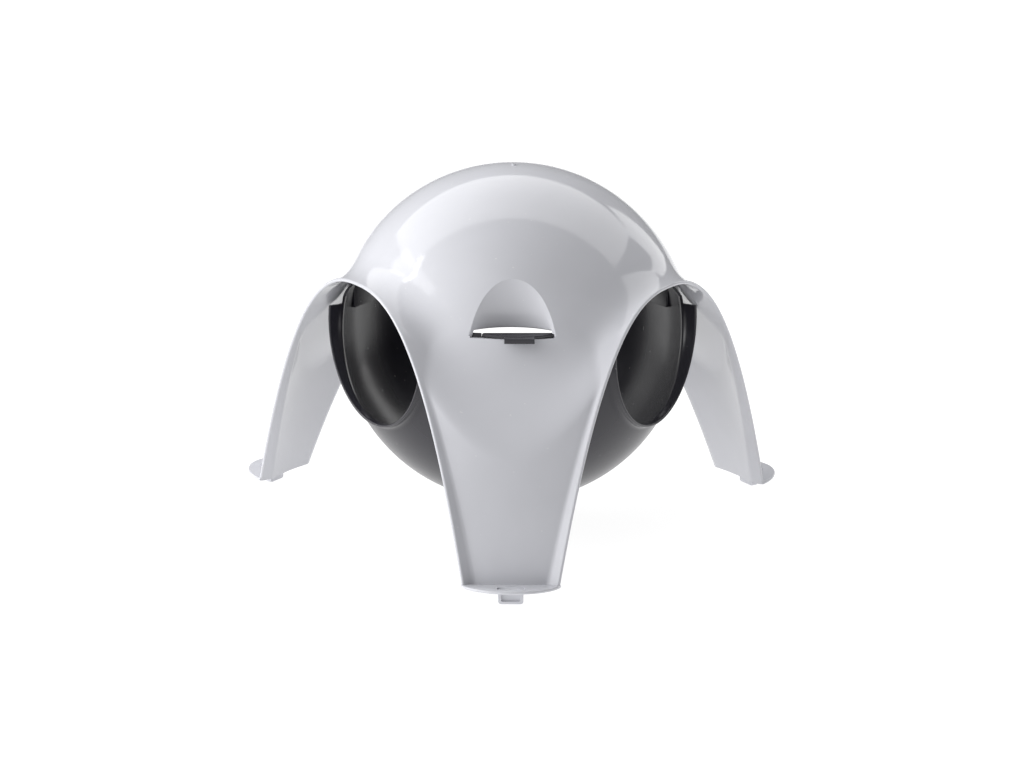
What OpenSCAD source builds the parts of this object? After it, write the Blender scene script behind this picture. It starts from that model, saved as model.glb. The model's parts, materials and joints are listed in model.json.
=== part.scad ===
// Small-pet nest house: a domed lid on three legs, clipped over a round nest bowl with three doorways.
// The Z axis is the common axis of the dome and the bowl, and z = 0 is the floor under the feet.

/* [Dome] */
// Outer radius of the dome
dome_r = 102; // [98:1:106]
// Height of the dome's centre above the floor
dome_z = 105; // [104:0.5:107]
// Wall of the dome moulding
dome_wall = 2; // [1.8:0.1:2.4]
// Radius of the moulding gate mark on the crown
gate_r = 1.4; // [1:0.1:2]
// Height of the gate mark above the crown
gate_h = 0.7; // [0.4:0.1:1]

/* [Arches] */
// Distance of each arch's edge plane from the axis
arch_plane = 100.5; // [100:0.5:102]
// Height of the arch tops above the dome's centre
arch_top = 43; // [42:0.5:45]
// Half width of an arch at the foot of the legs
arch_half = 120.8; // [119:0.2:121]
// Exponent of the arch outline, where 0.5 is a parabola
arch_power = 0.414; // [0.41:0.002:0.425]

/* [Legs] */
// Height of the legs' lower ends above the floor
leg_bottom = 6.2; // [6:0.1:6.6]
// Height above the dome's centre where the legs leave the shoulder
leg_top = 20.4; // [20:0.2:21]
// Radius of a leg's front at its top
leg_r_top = 101.1; // [100.8:0.1:101.4]
// Radius of a leg's front at its lower end
leg_r_foot = 151.5; // [151:0.5:152]
// Radius of the bow in a leg's side profile
leg_bow_r = 304; // [290:2:340]
// Distance behind the axis of the centre that rounds the front of a leg
leg_round = 200; // [180:5:220]
// Half angle of the shoulder over a leg
shoulder_deg = 33; // [32:0.5:34]

/* [Vents] */
// Radius of the upright cylinder that forms a vent hood
hood_r = 32; // [31:0.5:33]
// Distance of the hood's wall from the axis
hood_reach = 85.4; // [85:0.1:86]
// Height of the vent sill above the dome's centre
sill_z = 25.2; // [25:0.1:25.6]
// Height of the hood's lower edge above the dome's centre
hood_z = 28.5; // [28:0.1:29]

/* [Feet] */
// Thickness of a foot plate
foot_wall = 1.6; // [1.4:0.1:1.8]
// Distance of a foot plate's toe from the axis
foot_reach = 175.4; // [174:0.2:176]
// Radius of a foot plate's round edge
foot_round = 28; // [27.5:0.5:28.5]
// Upward tilt of a foot plate
foot_tilt = 6; // [5:0.5:7]
// Length of a foot slot across the foot
slot_len = 14.8; // [14:0.2:15.4]
// Width of a foot slot
slot_w = 5.8; // [5.6:0.1:6]
// Distance of a foot slot's inner edge from the axis
slot_r = 162.8; // [162.6:0.1:163]
// Width of a hook under a foot
hook_w = 13.6; // [13:0.2:14]
// Distance of a hook's inner face from the axis
hook_r = 160.4; // [160:0.1:160.8]
// Depth of a hook, from its inner face to the front of its lip
hook_depth = 3.8; // [3.4:0.1:4]
// Thickness of a hook's back, lip and sides
hook_wall = 1.5; // [1.3:0.1:1.7]
// Chamfer on a hook's lower corners
hook_chamfer = 1.4; // [1:0.1:1.6]

/* [Bowl] */
// Outer radius of the bowl
bowl_r = 97.8; // [97.2:0.1:97.9]
// Height of the bowl's centre above the floor
bowl_z = 112.5; // [112:0.1:112.8]
// Wall of the bowl moulding
bowl_wall = 2; // [1.8:0.1:2.4]
// Height of the bowl's rim above the floor
rim_z = 132.2; // [131.8:0.1:132.4]
// Turn of the bowl within the play of its latches
bowl_turn = 2; // [0:0.5:3]

/* [Doorways] */
// Outer radius of a doorway's collar
collar_r = 51.5; // [51:0.1:51.6]
// Wall of a doorway's collar
collar_wall = 1.6; // [1.5:0.1:1.8]
// Height of the doorways' centre above the floor
collar_z = 119.3; // [119:0.1:119.6]
// Distance of the collars' outer edge from the axis
collar_reach = 91.2; // [90.8:0.1:91.4]
// Height of the collars' open ends above the floor
collar_top = 126.5; // [126:0.1:127]

/* [Latches] */
// Distance of a latch tab's back from the axis
tab_r = 92; // [91.8:0.1:92.2]
// Thickness of a latch tab
tab_t = 1.8; // [1.7:0.1:1.9]
// Width of a latch tab
tab_w = 40; // [38:1:41]
// Height of a latch tab's lower edge above the floor
tab_low = 118; // [117:0.5:119]
// Width of a latch nib
nib_w = 16.4; // [16:0.2:17]
// Thickness of a latch nib
nib_t = 1.7; // [1.5:0.1:1.8]
// Distance of a latch nib's tip from the axis
nib_reach = 106.4; // [105:0.2:107]
// Depth of the catch at the nib's tip
nib_drop = 1.2; // [1:0.1:1.4]
// Gap between a nib and its sill
nib_gap = 0.3; // [0.3:0.05:0.4]

/* [Hidden] */
$fn = 180;

// Plan angles of the legs and of the doorways between them
FRONT_LEG = 270;
LEFT_LEG = 150;
RIGHT_LEG = 30;
LEFT_DOOR = 210;
RIGHT_DOOR = 330;
REAR_DOOR = 90;
DOORS = [LEFT_DOOR, RIGHT_DOOR, REAR_DOOR];
LEGS = [FRONT_LEG, LEFT_LEG, RIGHT_LEG];

// Longer than anything in the model, for cutting shapes
BIG = 400;
// Straight steps in each curved outline
STEPS = 12;
// How fast the steps of the arch outline shorten towards its top
STEP_POWER = 2.2;
SHELL_COLOUR = [0.86, 0.87, 0.89];
BOWL_COLOUR = [0.19, 0.19, 0.21];

apex_z = dome_z + arch_top;
arch_depth = apex_z - leg_bottom;
split_z = dome_z + leg_top;
sill_top = dome_z + sill_z;
// Height where the crown meets the shoulders, above the vents
crown_z = dome_z + 62;
// Height where the bowl's base meets its walls, below the doorways
base_z = bowl_z - 50;
hood_centre = hood_reach + hood_r;
foot_centre = foot_reach - foot_round;
slot_mid = slot_r + slot_w / 2;
nib_z = sill_top + nib_gap;
// Distance from the axis where an arch's lip and a collar start, inside the walls
lip_start = 60;
// Distances from the axis where the cuts for the arches and for the doorways start
arch_start = 2;
bore_start = 40;
// How far joined shapes reach into each other before they are cut to shape
overlap = 20;
// How far the gate stub reaches down into the dome's wall
gate_sink = 1;
// Plan angle from a leg to the doorway beside it
DOOR_TURN = 60;

// Half width of an arch at a depth below its top
function arch_at(depth) = arch_half * pow(depth / arch_depth, arch_power);
// Depths of the outline's points, closer together near the top
function arch_step(i) = arch_depth * pow(i / STEPS, STEP_POWER);
// Slope of the outline: half width gained per unit of depth
function arch_slope(depth) = arch_power * arch_at(depth) / depth;
// A point on the arch outline, moved outwards by grow, as [half width, height]
function arch_point(depth, grow) =
    let (slope = arch_slope(depth), length = sqrt(1 + slope * slope))
    [arch_at(depth) + grow / length, apex_z - depth + grow * slope / length];
// One side of the arch outline, from below the legs to the top
function arch_side(grow) = concat(
    [[arch_at(arch_depth * 1.1) + grow, leg_bottom - arch_depth * 0.1]],
    [for (i = [STEPS:-1:1]) arch_point(arch_step(i), grow)]);
function mirrored(points) = [for (i = [len(points) - 1:-1:0]) [-points[i][0], points[i][1]]];

// Side profile of a leg: an arc through its top and foot, bowed outwards
profile_chord = [leg_r_foot - leg_r_top, leg_bottom - split_z];
profile_half = norm(profile_chord) / 2;
profile_mid = [(leg_r_foot + leg_r_top) / 2, (leg_bottom + split_z) / 2];
profile_in = [profile_chord[1], -profile_chord[0]] / (2 * profile_half);
profile_centre = profile_mid + profile_in * sqrt(pow(leg_bow_r, 2) - pow(profile_half, 2));
// Radius of a leg's front, set back by inset, at a height above the floor
function leg_r(z, inset) =
    profile_centre[0] + sqrt(pow(leg_bow_r - inset, 2) - pow(z - profile_centre[1], 2));

module turned(angle) {
    rotate([0, 0, angle]) children();
}

// Extrudes an outline drawn as [across, up] outwards along X, from one distance to another
module outwards(from, to) {
    translate([from, 0, 0]) rotate([90, 0, 90]) linear_extrude(to - from) children();
}

module arch_outline(grow) {
    polygon(concat(arch_side(grow), [[0, apex_z + grow]], mirrored(arch_side(grow))));
}

module arch_tunnels() {
    for (door = DOORS) turned(door) outwards(arch_start, BIG) arch_outline(0);
}

// The lip along both edges of every leg and over the arch tops
module arch_lips() {
    for (door = DOORS) turned(door) outwards(lip_start, arch_plane) arch_outline(dome_wall);
}

// Solid of a leg and its shoulder, set back by inset
module leg_solid(inset) {
    low = leg_bottom - 2 * inset;
    high = split_z - inset;
    shoulder_run = 30;
    core_r = 45;
    outline = concat(
        [for (i = [0:STEPS]) let (z = low + (high - low) * i / STEPS) [leg_round + leg_r(z, inset), z]],
        [[leg_round + leg_r(high, inset) - shoulder_run, high + shoulder_run],
         [leg_round + core_r, high + shoulder_run], [leg_round + core_r, low]]);
    intersection() {
        translate([-leg_round, 0, 0]) rotate_extrude() polygon(outline);
        wedge(inset);
    }
}

// The plan sector that a leg and its shoulder keep to
module wedge(inset) {
    reach = 190;
    side = reach * tan(shoulder_deg);
    back = inset / sin(shoulder_deg);
    linear_extrude(BIG) polygon([[back, 0], [reach + back, -side], [reach + back, side]]);
}

module legs_solid(inset) {
    for (leg = LEGS) turned(leg) leg_solid(inset);
}

// Everything above or below the plane where the dome meets the legs
module above_split() {
    translate([-BIG / 2, -BIG / 2, split_z]) cube([BIG, BIG, BIG]);
}

module dome_hollow() {
    translate([0, 0, dome_z]) sphere(dome_r - dome_wall);
}

module vent_cut(height) {
    translate([hood_centre, 0, height]) cylinder(r = hood_r, h = BIG);
}

module dome_cap() {
    difference() {
        intersection() {
            union() {
                translate([0, 0, dome_z]) sphere(dome_r);
                legs_solid(0);
                arch_lips();
                translate([0, 0, dome_z + dome_r - gate_sink]) cylinder(r = gate_r, h = gate_h + gate_sink);
            }
            above_split();
        }
        dome_hollow();
        legs_solid(dome_wall);
        arch_tunnels();
        for (leg = LEGS) turned(leg) vent_cut(sill_top);
    }
}

// The sector between two doorways, from one height to another
module sector(from_z, to_z) {
    side = BIG * sin(DOOR_TURN);
    translate([0, 0, from_z]) linear_extrude(to_z - from_z)
        polygon([[0, 0], [BIG / 2, -side], [BIG, -side], [BIG, side], [BIG / 2, side]]);
}

module dome_crown() {
    color(SHELL_COLOUR) intersection() {
        dome_cap();
        translate([0, 0, crown_z + BIG / 2]) cube(BIG, center = true);
    }
}

// The part of the dome over one leg, with its vent and half of each arch beside it
module shoulder() {
    color(SHELL_COLOUR) intersection() {
        turned(-FRONT_LEG) dome_cap();
        sector(split_z, crown_z);
    }
}

module leg() {
    color(SHELL_COLOUR) difference() {
        union() {
            leg_solid(0);
            for (side = [-1, 1]) leg_lip(side);
        }
        foot_frame() translate([0, 0, foot_wall - BIG]) cube(2 * BIG, center = true);
        above_split();
        leg_solid(dome_wall);
        leg_openings();
    }
}

// The arch tunnels on both sides of a leg
module leg_openings() {
    for (side = [-1, 1]) turned(DOOR_TURN * side) outwards(arch_start, BIG) arch_outline(0);
}

module leg_lip(side) {
    intersection() {
        turned(DOOR_TURN * side) outwards(lip_start, arch_plane) arch_outline(dome_wall);
        translate([leg_r_top - overlap, -BIG / 2, leg_bottom]) cube([BIG, BIG, BIG]);
    }
}

module vent_hood() {
    color(SHELL_COLOUR) difference() {
        intersection() {
            translate([hood_centre, 0, dome_z + hood_z]) cylinder(r = hood_r + dome_wall, h = BIG);
            translate([0, 0, dome_z]) sphere(dome_r - dome_wall);
            translate([hood_reach - overlap, -BIG / 2, 0]) cube([BIG, BIG, BIG]);
        }
        vent_cut(0);
    }
}

module foot() {
    heel_r = leg_r_foot - 2;
    color(SHELL_COLOUR) difference() {
        foot_frame() intersection() {
            translate([foot_centre, 0, 0]) cylinder(r = foot_round, h = foot_wall);
            translate([heel_r, -BIG / 2, -BIG / 2]) cube([BIG, BIG, BIG]);
        }
        leg_openings();
        translate([slot_mid, 0, leg_bottom]) cube([slot_w, slot_len, BIG / 10], center = true);
    }
}

// Places a shape, drawn flat at z = 0, on the tilted plane of a foot plate
module foot_frame() {
    translate([leg_r_foot, 0, leg_bottom]) rotate([0, -foot_tilt, 0]) translate([-leg_r_foot, 0, 0])
        children();
}

// A clip that stands under the slot: a back with two sides and a lip, open to the front
module hook() {
    pocket_w = hook_w - 4 * hook_wall;
    color(SHELL_COLOUR) difference() {
        translate([hook_r, -hook_w / 2, 0]) cube([hook_depth, hook_w, 2 * leg_bottom]);
        translate([hook_r + hook_wall, -pocket_w / 2, hook_wall]) cube([hook_depth, pocket_w, BIG]);
        for (side = [-1, 1]) hook_corner(side);
        foot_frame() translate([slot_mid, 0, BIG / 2]) cube(BIG, center = true);
    }
}

module hook_corner(side) {
    translate([hook_r, side * hook_w / 2, 0]) rotate([45, 0, 0])
        cube([BIG, hook_chamfer * sqrt(2), hook_chamfer * sqrt(2)], center = true);
}

module bowl_ball(inset) {
    translate([0, 0, bowl_z]) sphere(bowl_r - inset);
}

module door_bore(radius, from, to) {
    translate([from, 0, collar_z]) rotate([0, 90, 0]) cylinder(r = radius, h = to - from);
}

// The bowl's wall before its doorways are cut
module bowl_skin() {
    difference() {
        bowl_ball(0);
        bowl_ball(bowl_wall);
        translate([-BIG / 2, -BIG / 2, rim_z]) cube([BIG, BIG, BIG]);
    }
}

module bowl_shell() {
    difference() {
        bowl_skin();
        for (door = DOORS) turned(door) door_bore(collar_r, bore_start, BIG);
    }
}

module bowl_base() {
    color(BOWL_COLOUR) turned(bowl_turn) intersection() {
        bowl_shell();
        translate([0, 0, base_z - BIG / 2]) cube(BIG, center = true);
    }
}

// The bowl's wall between two doorways, with a notch for the latch nib
module bowl_wall_sector() {
    color(BOWL_COLOUR) difference() {
        intersection() {
            turned(-FRONT_LEG) bowl_shell();
            sector(base_z, rim_z);
        }
        nib_notch();
    }
}

module nib_notch() {
    translate([tab_r, -nib_w / 2, nib_z]) cube([overlap, nib_w, overlap]);
}

module collar() {
    color(BOWL_COLOUR) difference() {
        door_bore(collar_r, lip_start, collar_reach);
        door_bore(collar_r - collar_wall, bore_start, BIG);
        bowl_ball(bowl_wall);
        translate([0, -BIG / 2, collar_top]) cube([BIG, BIG, BIG]);
    }
}

// A flexible tab inside the bowl's rim, with a nib that rests on the vent sill
module latch() {
    color(BOWL_COLOUR) difference() {
        union() {
            translate([tab_r, -tab_w / 2, tab_low]) cube([tab_t, tab_w, nib_z + nib_t - tab_low]);
            translate([tab_r, -nib_w / 2, nib_z]) cube([nib_reach - tab_r, nib_w, nib_t]);
            translate([nib_reach - tab_t, -nib_w / 2, nib_z - nib_drop]) cube([tab_t, nib_w, nib_drop + nib_t]);
        }
        difference() {
            bowl_skin();
            nib_notch();
        }
    }
}

dome_crown();
turned(FRONT_LEG) shoulder();  // shoulder_front
turned(LEFT_LEG) shoulder();  // shoulder_left
turned(RIGHT_LEG) shoulder();  // shoulder_right
turned(FRONT_LEG) leg();  // leg_front
turned(LEFT_LEG) leg();  // leg_left
turned(RIGHT_LEG) leg();  // leg_right
turned(FRONT_LEG) vent_hood();  // vent_hood_front
turned(LEFT_LEG) vent_hood();  // vent_hood_left
turned(RIGHT_LEG) vent_hood();  // vent_hood_right
turned(FRONT_LEG) foot();  // foot_front
turned(LEFT_LEG) foot();  // foot_left
turned(RIGHT_LEG) foot();  // foot_right
turned(FRONT_LEG) hook();  // hook_front
turned(LEFT_LEG) hook();  // hook_left
turned(RIGHT_LEG) hook();  // hook_right
bowl_base();
turned(FRONT_LEG + bowl_turn) bowl_wall_sector();  // bowl_wall_front
turned(LEFT_LEG + bowl_turn) bowl_wall_sector();  // bowl_wall_left
turned(RIGHT_LEG + bowl_turn) bowl_wall_sector();  // bowl_wall_right
turned(LEFT_DOOR + bowl_turn) collar();  // collar_left
turned(RIGHT_DOOR + bowl_turn) collar();  // collar_right
turned(REAR_DOOR + bowl_turn) collar();  // collar_rear
turned(FRONT_LEG + bowl_turn) latch();  // latch_front
turned(LEFT_LEG + bowl_turn) latch();  // latch_left
turned(RIGHT_LEG + bowl_turn) latch();  // latch_right
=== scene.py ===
"""Looks of a small-pet nest house: a glossy pale dome on three legs, clipped over a charcoal nest bowl."""

import json
import math

import bmesh
import bpy
import numpy as np
from mathutils import Matrix, Vector


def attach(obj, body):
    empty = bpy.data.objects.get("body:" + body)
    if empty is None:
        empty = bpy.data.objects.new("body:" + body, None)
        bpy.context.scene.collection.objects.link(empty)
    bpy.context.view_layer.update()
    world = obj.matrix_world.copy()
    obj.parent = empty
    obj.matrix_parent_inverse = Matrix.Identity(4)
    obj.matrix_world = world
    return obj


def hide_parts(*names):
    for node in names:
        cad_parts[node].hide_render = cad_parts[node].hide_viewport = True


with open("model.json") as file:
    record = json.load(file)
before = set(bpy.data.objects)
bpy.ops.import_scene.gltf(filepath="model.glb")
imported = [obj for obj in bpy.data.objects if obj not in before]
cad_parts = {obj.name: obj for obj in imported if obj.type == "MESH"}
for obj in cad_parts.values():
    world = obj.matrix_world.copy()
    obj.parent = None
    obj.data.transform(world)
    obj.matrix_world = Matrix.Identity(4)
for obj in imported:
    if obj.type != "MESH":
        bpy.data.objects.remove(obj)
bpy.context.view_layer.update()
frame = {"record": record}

MM = 0.001
LEG_ANGLES = {"front": 270, "left": 150, "right": 30}
SIXTY = math.radians(60)
DOORWAY = (math.cos(SIXTY), math.sin(SIXTY), 0)
UPRIGHT = Matrix(((0, 0, 1, 0), (1, 0, 0, 0), (0, 1, 0, 0), (0, 0, 0, 1)))

# Dome moulding
DOME_R = 102 * MM
DOME_Z = 105 * MM
WALL = 2 * MM
DOME_CENTRE = np.array([0, 0, DOME_Z])
GATE_R = 1.4 * MM
GATE_H = 0.7 * MM
GATE_EDGE = 0.3 * MM

# Arches between the legs: the outline is a power curve in a plane that stands across each doorway
ARCH_PLANE = 100.5 * MM
ARCH_TOP = DOME_Z + 43 * MM
ARCH_HALF = 120.8 * MM
ARCH_DEPTH = 141.8 * MM
ARCH_POWER = 1 / 0.414
LIP_T = 2.2 * MM
LIP_END = ARCH_PLANE - LIP_T / 2
LEG_RUN_OUT = 1.012

# Leg panels, set back behind the lips
SHELF_TOP = 2.6 * MM
SHELF_SLOPE = 0.035
SHELF_Z = DOME_Z + 23.5 * MM
PANEL_SLANT = 0.94
PANEL_TOP = DOME_Z + 37 * MM
CREASE_BLEND = 0.9 * MM
BRIM_BLEND = 12 * MM
BRIM_Z = DOME_Z + 19 * MM
BRIM_FADE = 17 * MM

# The dome's body passes from a panel to the ball between two levels, which rise towards the crease
SHOULDER = math.radians(32)
FLANK = math.radians(14)
PASS_LOW = DOME_Z - 34 * MM
PASS_LOW_RISE = 50 * MM
PASS_HIGH = DOME_Z + 30 * MM
PASS_HIGH_RISE = 6 * MM

# Vents
HOOD_R = 32 * MM
HOOD_CENTRE = 117.4 * MM
HOOD_LOW = DOME_Z + 28.5 * MM
HOOD_SPREAD = 1.0
HOOD_STUB = 1.4 * MM
SILL_Z = DOME_Z + 25.2 * MM
VENT_EDGE = 0.7 * MM
VENT_SPREAD = 1.32
VENT_STUB = 0.4 * MM
OVERCUT = 0.03 * MM

# Feet and clips
LEG_BOTTOM = 6.2 * MM
LEG_TRIM = 0.5 * MM
FOOT_HINGE = 151.5 * MM
FOOT_TILT = math.radians(6)
FOOT_CENTRE = 147.4 * MM
FOOT_ROUND = 28 * MM
FOOT_TAPER = 0.9985
FOOT_T = 1.6 * MM
FOOT_EDGE = 0.6 * MM
HEEL = FOOT_HINGE + 1.5 * MM
SLOT_MID = 165.7 * MM
SLOT_W = 5.8 * MM
SLOT_L = 14.8 * MM
SLOT_ROUND = 1.1 * MM
HOOK_R = 160.4 * MM
HOOK_W = 13.6 * MM
HOOK_DEPTH = 3.8 * MM
HOOK_HIGH = 8.2 * MM
HOOK_ROUND = 1.6 * MM
HOOK_EDGE = 0.35 * MM
HOOK_WALL = 1.7 * MM
HOOK_FLOOR = 1.5 * MM
HOOK_BACK = 2.4 * MM
POCKET_ROUND = 0.8 * MM
POCKET_EDGE = 0.2 * MM
CUTTER_EDGE = 0.1 * MM
FOOT_PLACE = (Matrix.Translation((FOOT_HINGE, 0, LEG_BOTTOM)) @ Matrix.Rotation(-FOOT_TILT, 4, "Y")
              @ Matrix.Translation((-FOOT_HINGE, 0, 0)))

# Bowl moulding
BOWL_R = 97.8 * MM
BOWL_Z = 112.5 * MM
BOWL_CENTRE = np.array([0, 0, BOWL_Z])
RIM_Z = 132.2 * MM
COLLAR_R = 51.5 * MM
COLLAR_T = 1.6 * MM
COLLAR_Z = 119.3 * MM
COLLAR_TOP = 126.5 * MM
COLLAR_END = 91.2 * MM
COLLAR_BLEND = 2.4 * MM
BALL_CLEARANCE = 0.05 * MM
NOTCH_HALF = 20.2 * MM
NOTCH_SINK = 0.2 * MM
BOWL_TURN = math.radians(2)

# Latches
TAB_R = 92 * MM
TAB_W = 40 * MM
TAB_T = 1.8 * MM
TAB_LOW = 118 * MM
TAB_ROUND = 1.2 * MM
TAB_EDGE = 0.3 * MM
LATCH_TOP = RIM_Z
LEDGE_R = 95.5 * MM
LEDGE_REACH = 101.5 * MM
LEDGE_POWER = 1.3
LEDGE_EDGE = 0.35 * MM
LEDGE_ROOT = TAB_R + 0.5 * MM
NIB_W = 16.4 * MM
NIB_Z = 130.5 * MM
NIB_REACH = 106.4 * MM
NIB_ROOT = TAB_R + 0.9 * MM
NIB_EDGE = 0.25 * MM
CATCH_Z = 129.3 * MM
CATCH_T = 1.9 * MM

# Meshes
WELD = 1e-3 * MM
SHARP = math.radians(38)
ON_SKIN = 0.02 * MM
AGREE = 0.9
HALVINGS = 34
START_WEIGHT = 0.6
CROWDING = 1.7

# Camera
LENS = 143.5
PITCH = 0.248
ROLL = 0.0074
CAMERA_PLACE = (-0.00016, -2.2522, 0.6504)


def smooth(t):
    t = np.clip(t, 0, 1)
    return t * t * (3 - 2 * t)


def soft_min(a, b, blend):
    near = np.maximum(blend - np.abs(a - b), 0) / blend
    return np.minimum(a, b) - near * near * blend / 4


def unit(v):
    return v / np.linalg.norm(v, axis=-1, keepdims=True)


def doorway_side(p):
    """Distance to the side of the doorway at +60 degrees."""
    return np.abs(p[..., 0] * math.sin(SIXTY) - p[..., 1] * math.cos(SIXTY))


def from_doorway(out, aside):
    """Place (forward, sideways) of a point by its distance out along the doorway and to its side."""
    forward = out * math.cos(SIXTY) + aside * math.sin(SIXTY)
    return forward, out * math.sin(SIXTY) - aside * math.cos(SIXTY)


def arch_drop(aside):
    """How far the arch outline has dropped below its top, and its slope there."""
    ratio = aside / ARCH_HALF
    drop = ARCH_DEPTH * ratio**ARCH_POWER
    return drop, ARCH_POWER * ARCH_DEPTH / ARCH_HALF * ratio ** (ARCH_POWER - 1)


def lip_gap(p):
    """Distance from the crease line that runs a lip's thickness inside the arch outline, positive in the wall."""
    drop, slope = arch_drop(doorway_side(p))
    return (p[..., 2] - ARCH_TOP + drop) / np.sqrt(1 + slope * slope) - LIP_T


def panel_line(z):
    """Place (forward, sideways) of the crease between a leg's panel and its lip."""
    drop = ARCH_TOP - np.minimum(z, PANEL_TOP)
    half = ARCH_HALF * (drop / ARCH_DEPTH) ** (1 / ARCH_POWER)
    lean = half / (ARCH_POWER * drop)
    aside = half + LIP_T * np.sqrt(1 + lean * lean)
    return from_doorway(ARCH_PLANE - SHELF_TOP - SHELF_SLOPE * np.maximum(SHELF_Z - z, 0), aside)


def panel_gap(p):
    """Distance from a leg's panel, which is turned about the dome's axis."""
    forward, sideways = panel_line(p[..., 2])
    return (np.hypot(p[..., 0], p[..., 1]) - np.hypot(forward, sideways)) * PANEL_SLANT


def ball_gap(p, centre, radius):
    return np.linalg.norm(p - centre, axis=-1) - radius


def panel_or_ball(p):
    ball = ball_gap(p, DOME_CENTRE, DOME_R)
    return np.where(p[..., 2] < SHELF_Z, np.minimum(panel_gap(p), ball), ball)


def dome_gap(p):
    """Distance from the outer skin of the dome moulding, with its legs and lips. It holds for 0 to 60 degrees.

    Below the vent's sill the ball runs on as its tangent cone."""
    rise = p[..., 2] - DOME_Z
    reach = np.hypot(p[..., 0], p[..., 1])
    cone = reach * math.cos(FLANK) + rise * math.sin(FLANK)
    ball = np.where(np.arctan2(rise, reach) > FLANK, np.hypot(reach, rise), cone) - DOME_R
    forward, sideways = panel_line(p[..., 2])
    crease = (np.arctan2(sideways, forward) + SHOULDER) / 2
    side = np.clip(np.arctan2(p[..., 1], p[..., 0]) / crease, 0, 1) ** 2
    low = PASS_LOW + PASS_LOW_RISE * side
    high = PASS_HIGH + PASS_HIGH_RISE * side
    up = smooth((p[..., 2] - low) / (high - low))
    body = panel_gap(p) * (1 - up) + ball * up
    blend = CREASE_BLEND + (BRIM_BLEND - CREASE_BLEND) * smooth((p[..., 2] - BRIM_Z) / BRIM_FADE)
    return soft_min(body, lip_gap(p), blend)


def collar_gap(p):
    return np.hypot(doorway_side(p), p[..., 2] - COLLAR_Z) - COLLAR_R


def bowl_gap(p):
    """Distance from the outer skin of the bowl moulding, with the collars of its doorways."""
    return soft_min(ball_gap(p, BOWL_CENTRE, BOWL_R), collar_gap(p), COLLAR_BLEND)


def fold(p):
    """The same points seen from their own leg's frame, in the half that the sector covers."""
    angle = np.arctan2(p[..., 1], p[..., 0]) - math.radians(LEG_ANGLES["front"])
    angle = np.mod(angle + SIXTY, 2 * SIXTY) - SIXTY
    across = np.hypot(p[..., 0], p[..., 1])
    return np.stack([across * np.cos(angle), across * np.abs(np.sin(angle)), p[..., 2]], -1)


def cast(gap, centre, directions, near=60 * MM, far=230 * MM):
    """Points of the skin along rays from its centre."""
    low = np.full(directions.shape[:-1], near)
    high = np.full(directions.shape[:-1], far)
    for _ in range(HALVINGS):
        middle = (low + high) / 2
        outside = gap(centre + middle[..., None] * directions) > 0
        high = np.where(outside, middle, high)
        low = np.where(outside, low, middle)
    return centre + high[..., None] * directions


def gap_normal(gap, p):
    step = 0.02 * MM
    return unit(np.stack([gap(p + step * axis) - gap(p - step * axis) for axis in np.eye(3)], -1))


def arc(a, b, t):
    """Directions between two unit vectors, t from 0 to 1 along the great circle."""
    angle = np.arccos(np.clip((a * b).sum(-1), -1, 1))[..., None]
    return (np.sin((1 - t[..., None]) * angle) * a + np.sin(t[..., None] * angle) * b) / np.sin(angle)


def path_lengths(points):
    return np.r_[0, np.cumsum(np.linalg.norm(np.diff(points, axis=0), axis=-1))]


def spread_rows(start_polar, end, reach, rows):
    """Unit directions of the start and end of each row of a sector, spread evenly along its two long paths."""
    start = np.stack([np.sin(start_polar), 0 * start_polar, np.cos(start_polar)], -1)
    total = path_lengths(end) + START_WEIGHT * path_lengths(start * reach)
    picks = np.interp(np.linspace(0, total[-1], rows), total, np.arange(len(total)))
    low = np.floor(picks).astype(int).clip(0, len(total) - 2)

    def at(values):
        return unit(values[low] + (values[low + 1] - values[low]) * (picks - low)[:, None])

    return at(start), at(end)


def dome_paths():
    """The rows of the dome's sector, from a leg's middle plane to the arch."""
    aside = np.linspace(0, ARCH_HALF * LEG_RUN_OUT, 1500)
    drop, slope = arch_drop(aside)
    steep = np.sqrt(1 + slope * slope)
    z = ARCH_TOP - drop + LIP_T / steep
    edge = np.stack([*from_doorway(LIP_END, aside + LIP_T * slope / steep), z], -1) - DOME_CENTRE
    polar = np.arctan2(np.hypot(edge[:, 0], edge[:, 1]), edge[:, 2])
    join = math.radians(93)
    level = np.arctan2(np.hypot(*panel_line(z)), z - DOME_Z)
    late = np.clip((polar - polar[0]) / (join - polar[0]), 0, 1)
    return spread_rows(level - level[0] * (1 - late) ** 2, edge, 1.3 * DOME_R, 130)


def bowl_paths():
    """The rows of the bowl's sector, from a leg's middle plane to the collar's rim."""
    top = math.asin((RIM_Z - COLLAR_T / 2 - COLLAR_Z) / COLLAR_R)
    angle = np.linspace(-math.pi / 2, top, 1200)
    z = COLLAR_Z + COLLAR_R * np.sin(angle)
    out = COLLAR_END - COLLAR_T / 2
    edge = np.stack([*from_doorway(out, COLLAR_R * np.cos(angle)), z], -1) - BOWL_CENTRE
    level = np.arccos(np.clip((z - BOWL_Z) / BOWL_R, -1, 1))
    join = math.radians(88)
    late = np.clip((level[0] - level) / (level[0] - join), 0, 1)
    return spread_rows(level + (math.pi - level[0]) * (1 - late) ** 2, edge, BOWL_R, 96)


def crease_share(gap_a, gap_b, centre, start, end):
    """Share of each row at which surface b takes over from surface a, evened out over the nearest rows."""
    t = np.linspace(0, 1, 240)
    rays = arc(start[:, None], end[:, None], np.broadcast_to(t, (len(start), len(t))))
    points = cast(lambda p: np.minimum(gap_a(p), gap_b(p)), centre, rays)
    past = gap_a(points) > gap_b(points)
    share = t[np.where(past.any(1), past.argmax(1), len(t) - 1)]
    width = 5
    padded = np.r_[[share[0]] * width, share, [share[-1]] * width]
    kernel = np.ones(2 * width + 1) / (2 * width + 1)
    return np.convolve(padded, kernel, "valid")


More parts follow.
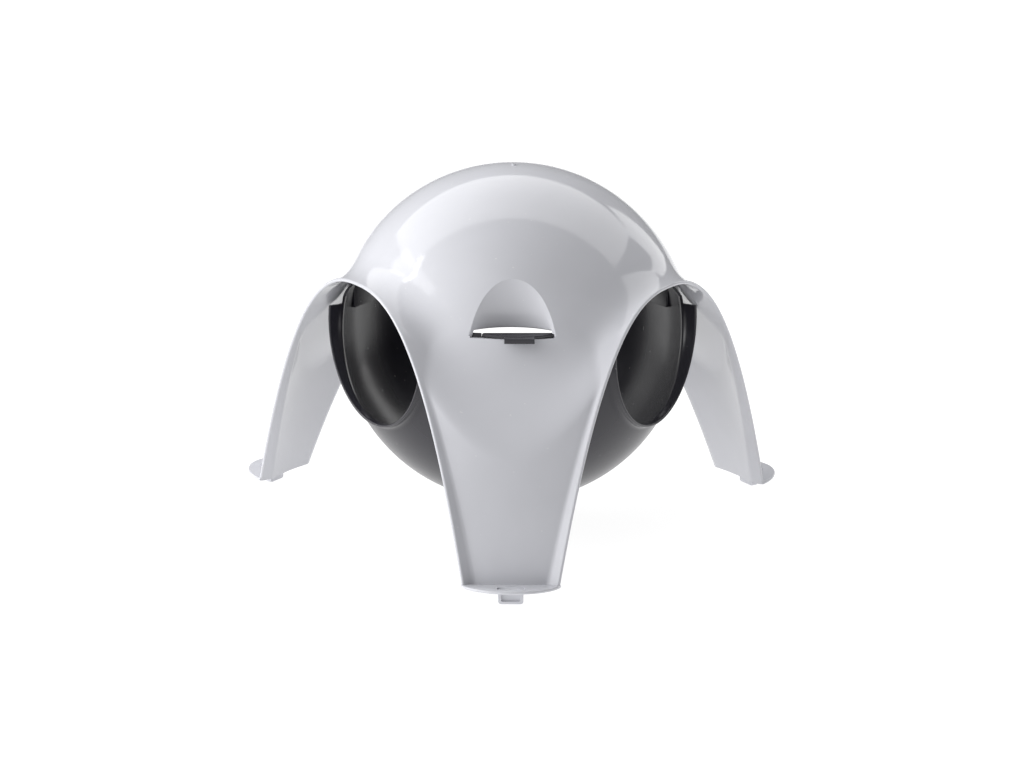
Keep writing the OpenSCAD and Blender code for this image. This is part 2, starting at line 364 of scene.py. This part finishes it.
def row_steps(share, before, after):
    """Where the points lie along each row, closest together at the crease."""
    a = 1 - (1 - np.linspace(0, 1, before + 1)) ** CROWDING
    b = 0.5 - 0.5 * np.cos(np.linspace(0, math.pi, after + 1))
    return np.concatenate([share[:, None] * a, share[:, None] + (1 - share[:, None]) * b[1:]], 1)


def sector_mesh(gap, centre, start, end, share, lip, foot_out, before, after):
    """One 60 degree sector of a shell: outer skin, inner skin and a round rim on its free edges.

    Rows run from the leg's middle plane to the arch. foot_out says which way the edge along the last row faces."""
    t = row_steps(share, before, after)
    outer = cast(gap, centre, arc(start[:, None], end[:, None], t))
    thick = WALL + (lip - WALL) * smooth((np.arange(t.shape[1]) - before) / after)[None, :, None]
    inner = outer - gap_normal(gap, outer) * thick
    rows, cols = t.shape
    verts = [outer.reshape(-1, 3), inner.reshape(-1, 3)]
    grid = np.arange(rows * cols).reshape(rows, cols)
    sheet = np.stack([grid[:-1, :-1], grid[:-1, 1:], grid[1:, 1:], grid[1:, :-1]], -1).reshape(-1, 4)
    quads = [sheet, sheet[:, [0, 3, 2, 1]] + rows * cols]
    border = np.r_[grid[:, -1], grid[-1, -2::-1]]
    corner = unit(np.add(DOORWAY, foot_out))
    out = np.r_[np.tile(DOORWAY, (rows - 1, 1)), [corner], np.tile(foot_out, (cols - 1, 1))]
    top = verts[0][border]
    low = verts[1][border]
    mid, half = (top + low) / 2, (top - low) / 2
    radius = np.linalg.norm(half, axis=-1, keepdims=True)
    n = half / radius
    face = unit(out - (out * n).sum(-1, keepdims=True) * n)
    rings = [border]
    turn = 5
    for k in range(1, turn):
        angle = math.pi * k / turn
        verts.append(mid + radius * (math.cos(angle) * n + math.sin(angle) * face))
        rings.append(2 * rows * cols + (k - 1) * len(border) + np.arange(len(border)))
    rings.append(border + rows * cols)
    for a, b in zip(rings[:-1], rings[1:]):
        quads.append(np.stack([a[:-1], b[:-1], b[1:], a[1:]], -1))
    return np.concatenate(verts), np.concatenate(quads)


def six_fold(verts, quads):
    """A whole shell from one sector: mirrored in each leg's middle plane and turned to the three legs."""
    all_verts, all_quads = [], []
    for degrees in LEG_ANGLES.values():
        c, s = math.cos(math.radians(degrees)), math.sin(math.radians(degrees))
        for mirror in (1, -1):
            x, y = verts[:, 0], verts[:, 1] * mirror
            all_quads.append((quads if mirror == 1 else quads[:, ::-1]) + len(verts) * len(all_verts))
            all_verts.append(np.stack([x * c - y * s, x * s + y * c, verts[:, 2]], -1))
    return np.concatenate(all_verts), np.concatenate(all_quads)


def add_object(name, mesh):
    piece = bpy.data.objects.new(name, mesh)
    bpy.context.scene.collection.objects.link(piece)
    return piece


def closed_object(name, verts, faces):
    mesh = bpy.data.meshes.new(name)
    mesh.from_pydata(np.asarray(verts).tolist(), [], [list(map(int, face)) for face in faces])
    bm = bmesh.new()
    bm.from_mesh(mesh)
    bmesh.ops.remove_doubles(bm, verts=bm.verts, dist=WELD)
    bmesh.ops.recalc_face_normals(bm, faces=bm.faces)
    bm.to_mesh(mesh)
    bm.free()
    return add_object(name, mesh)


def boolean(target, tool, operation):
    """Joins a tool to a closed mesh or cuts it out, and throws the tool away."""
    modifier = target.modifiers.new(operation, "BOOLEAN")
    modifier.object = tool
    modifier.operation = operation
    modifier.solver = "MANIFOLD"
    graph = bpy.context.evaluated_depsgraph_get()
    mesh = bpy.data.meshes.new_from_object(target.evaluated_get(graph))
    target.modifiers.clear()
    old = target.data
    target.data = mesh
    mesh.name = target.name
    bpy.data.meshes.remove(old)
    spent = tool.data
    bpy.data.objects.remove(tool)
    bpy.data.meshes.remove(spent)


def turned(piece, degrees):
    piece.data.transform(Matrix.Rotation(math.radians(degrees), 4, "Z"))
    return piece


def inset(outline, distance):
    """A counter-clockwise outline moved inwards by a small distance."""
    ahead = unit(np.roll(outline, -1, 0) - outline)
    inward = np.stack([-ahead[:, 1], ahead[:, 0]], -1)
    middle = inward + np.roll(inward, 1, 0)
    least_turn = 0.4
    return outline + distance * middle / np.maximum((middle * inward).sum(-1, keepdims=True), least_turn)


def ring_faces(rings, count):
    """Quads between closed rings of count points each, one ring after the other."""
    faces = []
    for k in range(rings - 1):
        for i in range(count):
            j = (i + 1) % count
            faces.append([k * count + i, k * count + j, (k + 1) * count + j, (k + 1) * count + i])
    return faces


def slab(name, outline, low, high, edge, place=Matrix()):
    """A flat piece with rounded edges: an outline in x and y, from one height to another."""
    steps = 4
    rings, heights = [], []
    for k in range(steps + 1):
        a = math.pi / 2 * k / steps
        rings.append(inset(outline, edge * (1 - math.sin(a))))
        heights.append(low + edge * (1 - math.cos(a)))
    rings += rings[::-1]
    heights += [low + high - h for h in heights[::-1]]
    verts = np.concatenate([np.c_[ring, np.full(len(ring), h)] for ring, h in zip(rings, heights)])
    count = len(outline)
    caps = [list(range(count))[::-1], list(range((len(rings) - 1) * count, len(rings) * count))]
    piece = closed_object(name, verts, caps + ring_faces(len(rings), count))
    piece.data.transform(place)
    return piece


def box_outline(low, high, half_width):
    """Counter-clockwise outline of a plain rectangle that lies across the x axis."""
    return np.array([(low, -half_width), (high, -half_width), (high, half_width), (low, half_width)])


def rounded_box(width, depth, radius, centre=(0, 0), steps=5):
    """Counter-clockwise outline of a rectangle with round corners."""
    points = []
    for k, (sx, sy) in enumerate(((1, 1), (-1, 1), (-1, -1), (1, -1))):
        for i in range(steps + 1):
            a = math.pi / 2 * (k + i / steps)
            points.append((centre[0] + sx * (width / 2 - radius) + radius * math.cos(a),
                           centre[1] + sy * (depth / 2 - radius) + radius * math.sin(a)))
    return np.array(points)


def vent_cutter():
    """Everything in front of a vent's back wall and above its sill, flared by a round edge at the outer skin."""
    phi = np.linspace(-VENT_SPREAD, VENT_SPREAD, 121)
    reach = HOOD_R + VENT_EDGE
    x = HOOD_CENTRE - reach * np.cos(phi)
    y = reach * np.sin(phi)
    z = DOME_Z + np.sqrt((DOME_R - VENT_EDGE) ** 2 - x * x - y * y)
    middle = np.stack([x, y, z], -1)
    sideways = np.stack([np.cos(phi), -np.sin(phi), 0 * phi], -1)
    out = unit(middle - DOME_CENTRE)
    foot = middle + VENT_EDGE * sideways
    rows = [np.c_[foot[:, :2], np.full(len(phi), SILL_Z)]]
    for t in np.linspace(0, 1, 7):
        rows.append(middle + (VENT_EDGE + OVERCUT) * arc(sideways, out, np.full(len(phi), t)))
    rows.append(rows[-1] + 30 * MM * out)
    keep = z > SILL_Z + VENT_STUB
    forward = np.array([40 * MM, 0, 0])
    rows = [np.r_[row[keep], [row[keep][-1] + forward], [row[keep][0] + forward]] for row in rows]
    apex = (HOOD_CENTRE, 0, SILL_Z + 90 * MM)
    count = len(rows[0])
    last = (len(rows) - 1) * count
    fan = [[last + i, last + (i + 1) % count, last + count] for i in range(count)]
    faces = [list(range(count))] + ring_faces(len(rows), count) + fan
    return closed_object("vent_cutter", np.concatenate(rows + [[apex]]), faces)


def hood():
    """The wall behind a vent, from the dome's inner skin down to a free round edge."""
    phi = np.linspace(-HOOD_SPREAD, HOOD_SPREAD, 97)
    columns = []
    for r in (HOOD_R, HOOD_R + WALL):
        x = HOOD_CENTRE - r * np.cos(phi)
        y = r * np.sin(phi)
        columns.append(np.stack([x, y, DOME_Z + np.sqrt((DOME_R - WALL / 2) ** 2 - x * x - y * y)], -1))
    keep = np.minimum(columns[0][:, 2], columns[1][:, 2]) > HOOD_LOW + HOOD_STUB
    front, back = (c[keep] for c in columns)
    outward = np.stack([np.cos(phi), -np.sin(phi), 0 * phi], -1)[keep]
    rows = [front]
    turn = 6
    for k in range(turn + 1):
        a = math.pi * k / turn
        ring = (front + back) / 2 + WALL / 2 * math.cos(a) * outward
        ring[:, 2] = HOOD_LOW + WALL / 2 * (1 - math.sin(a))
        rows.append(ring)
    rows.append(back)
    count = len(front)
    faces = []
    for k in range(len(rows)):
        after = (k + 1) % len(rows)
        for i in range(count - 1):
            faces.append([k * count + i, k * count + i + 1, after * count + i + 1, after * count + i])
    faces.append([k * count for k in range(len(rows))])
    faces.append([k * count + count - 1 for k in range(len(rows))][::-1])
    return closed_object("hood", np.concatenate(rows), faces)


def foot_plate():
    """A D shaped plate across a leg's bottom, with a slot."""
    def half_width(x):
        return (x * math.sin(SIXTY) - ARCH_HALF * FOOT_TAPER) / math.cos(SIXTY)

    span = np.linspace(FOOT_CENTRE, FOOT_CENTRE + FOOT_ROUND, 4000)
    tip = span[np.argmax(half_width(span) > np.sqrt(FOOT_ROUND**2 - (span - FOOT_CENTRE) ** 2))]
    tip_angle = math.acos((tip - FOOT_CENTRE) / FOOT_ROUND)
    front = [(FOOT_CENTRE + FOOT_ROUND * math.cos(a), FOOT_ROUND * math.sin(a))
             for a in np.linspace(-tip_angle, tip_angle, 49)]
    outline = np.array(front + [(HEEL, half_width(HEEL)), (HEEL, -half_width(HEEL))])
    plate = slab("foot", outline, 0, FOOT_T, FOOT_EDGE, FOOT_PLACE)
    opening = rounded_box(SLOT_W, SLOT_L, SLOT_ROUND, (SLOT_MID, 0))
    boolean(plate, slab("slot", opening, -5 * MM, 12 * MM, CUTTER_EDGE, FOOT_PLACE), "DIFFERENCE")
    return plate


def hook():
    """The clip under a foot's slot: a small tray that stands on its edge, open to the front."""
    tray = rounded_box(HOOK_W, 2 * HOOK_HIGH, HOOK_ROUND, (0, HOOK_HIGH))
    body = slab("hook", tray, HOOK_R, HOOK_R + HOOK_DEPTH, HOOK_EDGE, UPRIGHT)
    hollow = rounded_box(HOOK_W - 2 * HOOK_WALL, 2 * HOOK_HIGH, POCKET_ROUND, (0, HOOK_HIGH + HOOK_FLOOR))
    pocket = slab("pocket", hollow, HOOK_R + HOOK_BACK, HOOK_R + 2 * HOOK_DEPTH, POCKET_EDGE, UPRIGHT)
    boolean(body, pocket, "DIFFERENCE")
    over = box_outline(HOOK_R - 20 * MM, HOOK_R + 20 * MM, 20 * MM)
    boolean(body, slab("cap", over, FOOT_T / 2, 30 * MM, CUTTER_EDGE, FOOT_PLACE), "DIFFERENCE")
    return body


def finish_normals(piece, gap):
    """Shades rounded parts smooth, true edges sharp, and the outer skin by the exact surface."""
    mesh = piece.data
    mesh.shade_smooth()
    mesh.set_sharp_from_angle(angle=SHARP)
    loops = len(mesh.loops)
    normals = np.empty(loops * 3)
    mesh.corner_normals.foreach_get("vector", normals)
    normals = normals.reshape(-1, 3)
    corner_vert = np.empty(loops, int)
    mesh.loops.foreach_get("vertex_index", corner_vert)
    coords = np.empty(len(mesh.vertices) * 3)
    mesh.vertices.foreach_get("co", coords)
    coords = coords.reshape(-1, 3)
    face_normals = np.empty(len(mesh.polygons) * 3)
    mesh.polygons.foreach_get("normal", face_normals)
    sizes = np.empty(len(mesh.polygons), int)
    mesh.polygons.foreach_get("loop_total", sizes)
    face_normals = np.repeat(face_normals.reshape(-1, 3), sizes, 0)
    exact = gap_normal(gap, coords)[corner_vert]
    on_skin = np.abs(gap(coords))[corner_vert] < ON_SKIN
    use = on_skin & ((exact * face_normals).sum(-1) > AGREE)
    normals[use] = exact[use]
    mesh.normals_split_custom_set(normals.tolist())


def build_dome():
    start, end = dome_paths()
    share = crease_share(panel_or_ball, lip_gap, DOME_CENTRE, start, end)
    verts, quads = sector_mesh(dome_gap, DOME_CENTRE, start, end, share, LIP_T, (0, 0, -1), 46, 14)
    shell = closed_object("dome_shell", *six_fold(verts, quads))
    below = box_outline(FOOT_HINGE - 40 * MM, FOOT_HINGE + 80 * MM, 60 * MM)
    for degrees in LEG_ANGLES.values():
        end_cutter = slab("end", below, -40 * MM, LEG_TRIM, CUTTER_EDGE, FOOT_PLACE)
        boolean(shell, turned(end_cutter, degrees), "DIFFERENCE")
        boolean(shell, turned(foot_plate(), degrees), "UNION")
        boolean(shell, turned(hook(), degrees), "UNION")
        boolean(shell, turned(vent_cutter(), degrees), "DIFFERENCE")
        boolean(shell, turned(hood(), degrees), "UNION")
    disc = rounded_box(2 * GATE_R, 2 * GATE_R, 0.999 * GATE_R, steps=8)
    top = DOME_Z + DOME_R
    boolean(shell, slab("gate", disc, top - MM, top + GATE_H, GATE_EDGE), "UNION")
    finish_normals(shell, lambda p: dome_gap(fold(p)))
    return shell


def collar_cutter():
    """Cuts a collar off at a flat top and spares the bowl's wall."""
    box = box_outline(50 * MM, 120 * MM, 60 * MM)
    cut = turned(slab("collar_cut", box, COLLAR_TOP, COLLAR_TOP + 20 * MM, CUTTER_EDGE), 60)
    bpy.ops.mesh.primitive_uv_sphere_add(segments=192, ring_count=96, radius=BOWL_R + BALL_CLEARANCE,
                                         location=(0, 0, BOWL_Z))
    ball = bpy.context.object
    ball.data.transform(ball.matrix_world)
    ball.matrix_world = Matrix()
    boolean(cut, ball, "DIFFERENCE")
    return cut


def build_bowl():
    start, end = bowl_paths()
    share = crease_share(lambda p: ball_gap(p, BOWL_CENTRE, BOWL_R), collar_gap, BOWL_CENTRE, start, end)
    verts, quads = sector_mesh(bowl_gap, BOWL_CENTRE, start, end, share, COLLAR_T, (0, 0, 1), 40, 10)
    piece = closed_object("bowl", *six_fold(verts, quads))
    gap = box_outline(90 * MM, 99 * MM, NOTCH_HALF)
    for degrees in LEG_ANGLES.values():
        boolean(piece, turned(collar_cutter(), degrees), "DIFFERENCE")
        notch = slab("notch", gap, NIB_Z - NOTCH_SINK, RIM_Z + 10 * MM, CUTTER_EDGE)
        boolean(piece, turned(notch, degrees), "DIFFERENCE")
    finish_normals(piece, lambda p: bowl_gap(fold(p)))
    return turned(piece, math.degrees(BOWL_TURN))


def build_latch(name, degrees):
    """A springy tab inside the bowl's rim, with a ledge along its top and a nib that reaches over the sill."""
    face = rounded_box(TAB_W, LATCH_TOP - TAB_LOW, TAB_ROUND, (0, (TAB_LOW + LATCH_TOP) / 2))
    tab = slab(name, face, TAB_R, TAB_R + TAB_T, TAB_EDGE, UPRIGHT)
    bend = np.linspace(-1, 1, 41)
    side = bend * (TAB_W / 2 - 0.6 * MM)
    bulge = LEDGE_R + (LEDGE_REACH - LEDGE_R) * (1 - bend**2) ** LEDGE_POWER
    ledge = np.concatenate([np.stack([bulge, side], -1), [(LEDGE_ROOT, side[-1]), (LEDGE_ROOT, side[0])]])
    boolean(tab, slab("ledge", ledge, NIB_Z + 0.1 * MM, LATCH_TOP - 0.05 * MM, LEDGE_EDGE), "UNION")
    nib = box_outline(NIB_ROOT, NIB_REACH, NIB_W / 2)
    boolean(tab, slab("nib", nib, NIB_Z, LATCH_TOP - 0.25 * MM, NIB_EDGE), "UNION")
    catch = box_outline(NIB_REACH - CATCH_T, NIB_REACH, NIB_W / 2)
    boolean(tab, slab("catch", catch, CATCH_Z, LATCH_TOP - 0.6 * MM, NIB_EDGE), "UNION")
    tab.data.shade_smooth()
    tab.data.set_sharp_from_angle(angle=SHARP)
    return turned(tab, degrees + math.degrees(BOWL_TURN))


class Nodes:
    """A small helper that adds and links the shader nodes of one material."""

    def __init__(self, name):
        self.material = bpy.data.materials.new(name)
        self.material.use_nodes = True
        self.tree = self.material.node_tree
        self.shader = self.tree.nodes["Principled BSDF"]
        self.place = self.tree.nodes.new("ShaderNodeTexCoord").outputs["Object"]

    def link(self, out, into):
        self.tree.links.new(out, into)

    def noise(self, scale, detail=2.0, distortion=0.0):
        node = self.tree.nodes.new("ShaderNodeTexNoise")
        node.inputs["Scale"].default_value = scale
        node.inputs["Detail"].default_value = detail
        node.inputs["Distortion"].default_value = distortion
        self.link(self.place, node.inputs["Vector"])
        return node.outputs["Fac"]

    def ramp(self, value, low, high, out_low, out_high):
        node = self.tree.nodes.new("ShaderNodeMapRange")
        for socket, number in zip(("From Min", "From Max", "To Min", "To Max"), (low, high, out_low, out_high)):
            node.inputs[socket].default_value = number
        self.link(value, node.inputs["Value"])
        return node.outputs["Result"]

    def mix(self, share, a, b):
        node = self.tree.nodes.new("ShaderNodeMix")
        node.data_type = "RGBA"
        self.link(share, node.inputs["Factor"])
        for name, colour in (("A", a), ("B", b)):
            socket = [s for s in node.inputs if s.name == name and s.type == "RGBA"][0]
            if isinstance(colour, tuple):
                socket.default_value = (*colour, 1)
            else:
                self.link(colour, socket)
        return [s for s in node.outputs if s.type == "RGBA"][0]

    def bump(self, height, depth, normal=None):
        node = self.tree.nodes.new("ShaderNodeBump")
        node.inputs["Strength"].default_value = 1.0
        node.inputs["Distance"].default_value = depth
        self.link(height, node.inputs["Height"])
        if normal is not None:
            self.link(normal, node.inputs["Normal"])
        return node.outputs["Normal"]


def plastic(name, colour, roughness, peel, grain, dust):
    """Moulded plastic: faint mottling, orange peel, fine grain and a few specks of dust."""
    nodes = Nodes(name)
    dark = tuple(c * 0.965 for c in colour)
    light = tuple(min(c * 1.03, 1) for c in colour)
    mottling = nodes.noise(scale=14, detail=3, distortion=0.4)
    tone = nodes.mix(nodes.ramp(mottling, 0.35, 0.65, 0, 1), dark, light)
    speck = nodes.ramp(nodes.noise(scale=520, detail=0), 0.85, 0.88, 0, 0.4)
    nodes.link(nodes.mix(speck, tone, dust), nodes.shader.inputs["Base Color"])
    rubbing = nodes.noise(scale=55, detail=5, distortion=0.6)
    worn = nodes.ramp(rubbing, 0.3, 0.7, roughness - 0.02, roughness + 0.03)
    nodes.link(worn, nodes.shader.inputs["Roughness"])
    nodes.shader.inputs["IOR"].default_value = 1.5
    waves = nodes.bump(nodes.noise(scale=150, detail=1), peel)
    fine = nodes.bump(nodes.noise(scale=1400, detail=3), grain, waves)
    nodes.link(fine, nodes.shader.inputs["Normal"])
    return nodes.material


def backdrop(name, colour, glow):
    """The studio's white ground, lit from below, with a slight texture."""
    nodes = Nodes(name)
    tone = nodes.mix(nodes.noise(scale=30, detail=4), tuple(c * 0.97 for c in colour), colour)
    nodes.link(tone, nodes.shader.inputs["Base Color"])
    nodes.shader.inputs["Roughness"].default_value = 0.7
    nodes.shader.inputs["Emission Color"].default_value = (1, 1, 1, 1)
    nodes.shader.inputs["Emission Strength"].default_value = glow
    nodes.link(nodes.bump(nodes.noise(scale=900, detail=2), 0.02 * MM), nodes.shader.inputs["Normal"])
    return nodes.material


def hand_over(piece, material, body, nodes):
    """Gives a piece its one material, its body and its slot, and lets it stand for CAD nodes."""
    piece.data.materials.clear()
    piece.data.materials.append(material)
    piece.data.polygons.foreach_set("material_index", [0] * len(piece.data.polygons))
    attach(piece, body)
    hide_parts(*nodes)


def math_node(tree, operation, value, *numbers):
    node = tree.nodes.new("ShaderNodeMath")
    node.operation = operation
    tree.links.new(value, node.inputs[0])
    for k, number in enumerate(numbers):
        node.inputs[k + 1].default_value = number
    return node.outputs[0]


def studio_light(tree, towards, base, peak, power):
    """A dim studio that brightens softly towards one direction."""
    place = tree.nodes.new("ShaderNodeTexCoord").outputs["Generated"]
    dot = tree.nodes.new("ShaderNodeVectorMath")
    dot.operation = "DOT_PRODUCT"
    dot.inputs[1].default_value = Vector(towards).normalized()
    tree.links.new(place, dot.inputs[0])
    facing = math_node(tree, "MAXIMUM", dot.outputs["Value"], 0)
    lobe = math_node(tree, "POWER", facing, power)
    total = math_node(tree, "MULTIPLY_ADD", lobe, peak, base)
    tree.nodes["Background"].inputs["Color"].default_value = (1, 1, 1, 1)
    tree.links.new(total, tree.nodes["Background"].inputs["Strength"])


def area_light(name, place, target, size, radiance, along=(0, 0, 1)):
    """A soft box that faces a target, with its long side near one direction."""
    data = bpy.data.lights.new(name, "AREA")
    data.shape = "RECTANGLE"
    data.size, data.size_y = size
    data.energy = radiance * math.pi * size[0] * size[1]
    lamp = add_object(name, data)
    back = (Vector(place) - Vector(target)).normalized()
    high = (Vector(along) - back * back.dot(Vector(along))).normalized()
    wide = high.cross(back)
    lamp.matrix_world = Matrix.Translation(place) @ Matrix((wide, high, back)).transposed().to_4x4()


def add_camera():
    data = bpy.data.cameras.new("camera")
    data.sensor_width = 36
    data.lens = LENS
    camera = add_object("camera", data)
    bpy.context.scene.camera = camera
    back = Vector((0, -math.cos(PITCH), math.sin(PITCH)))
    level_up = Vector((0, math.sin(PITCH), math.cos(PITCH)))
    level_right = Vector((1, 0, 0))
    right = level_right * math.cos(ROLL) + level_up * math.sin(ROLL)
    up = level_up * math.cos(ROLL) - level_right * math.sin(ROLL)
    camera.matrix_world = Matrix.Translation(CAMERA_PLACE) @ Matrix((right, up, back)).transposed().to_4x4()


shell_white = plastic("shell_white", (0.62, 0.625, 0.665), 0.09, 0.012 * MM, 0.0008 * MM, (0.8, 0.8, 0.8))
bowl_charcoal = plastic("bowl_charcoal", (0.022, 0.021, 0.028), 0.24, 0.015 * MM, 0.0015 * MM, (0.2, 0.2, 0.2))
bodies = frame["record"]["behaviour"]["bodies"]

hand_over(build_dome(), shell_white, "dome", bodies["dome"])
bowl_nodes = [node for node in bodies["bowl"] if not node.startswith("latch")]
hand_over(build_bowl(), bowl_charcoal, "bowl", bowl_nodes)
for leg, degrees in LEG_ANGLES.items():
    latch = build_latch("latch_" + leg + "_piece", degrees)
    hand_over(latch, bowl_charcoal, "bowl", ["latch_" + leg])

add_camera()
floor_mesh = bpy.data.meshes.new("floor")
floor_mesh.from_pydata([(-8, -4, 0), (8, -4, 0), (8, 12, 0), (-8, 12, 0)], [], [(0, 1, 2, 3)])
floor_mesh.materials.append(backdrop("floor_white", (0.16, 0.16, 0.16), 0.93))
add_object("floor", floor_mesh)

scene = bpy.context.scene
scene.view_settings.view_transform = "Standard"
scene.world = bpy.data.worlds.new("studio")
scene.world.use_nodes = True
studio_light(scene.world.node_tree, (-0.93, -0.25, 0.26), base=0.20, peak=2.0, power=3)
area_light("overhead", (-0.03, 0.95, 1.4), (-0.03, 0.95, 0), (3.6, 1.66), 1.6, (0, 1, 0))
area_light("left", (-2.3, -0.1, 0.95), (0, 0, 0.15), (1.9, 1.7), 1.8)
area_light("strip", (-1.32, -0.23, 0.78), (0, 0, 0.15), (0.09, 1.1), 6.0, (0.334, 0.593, 0.85))
area_light("right", (1.2, 1.5, 0.6), (0, 0, 0.15), (0.6, 1.0), 1.6)
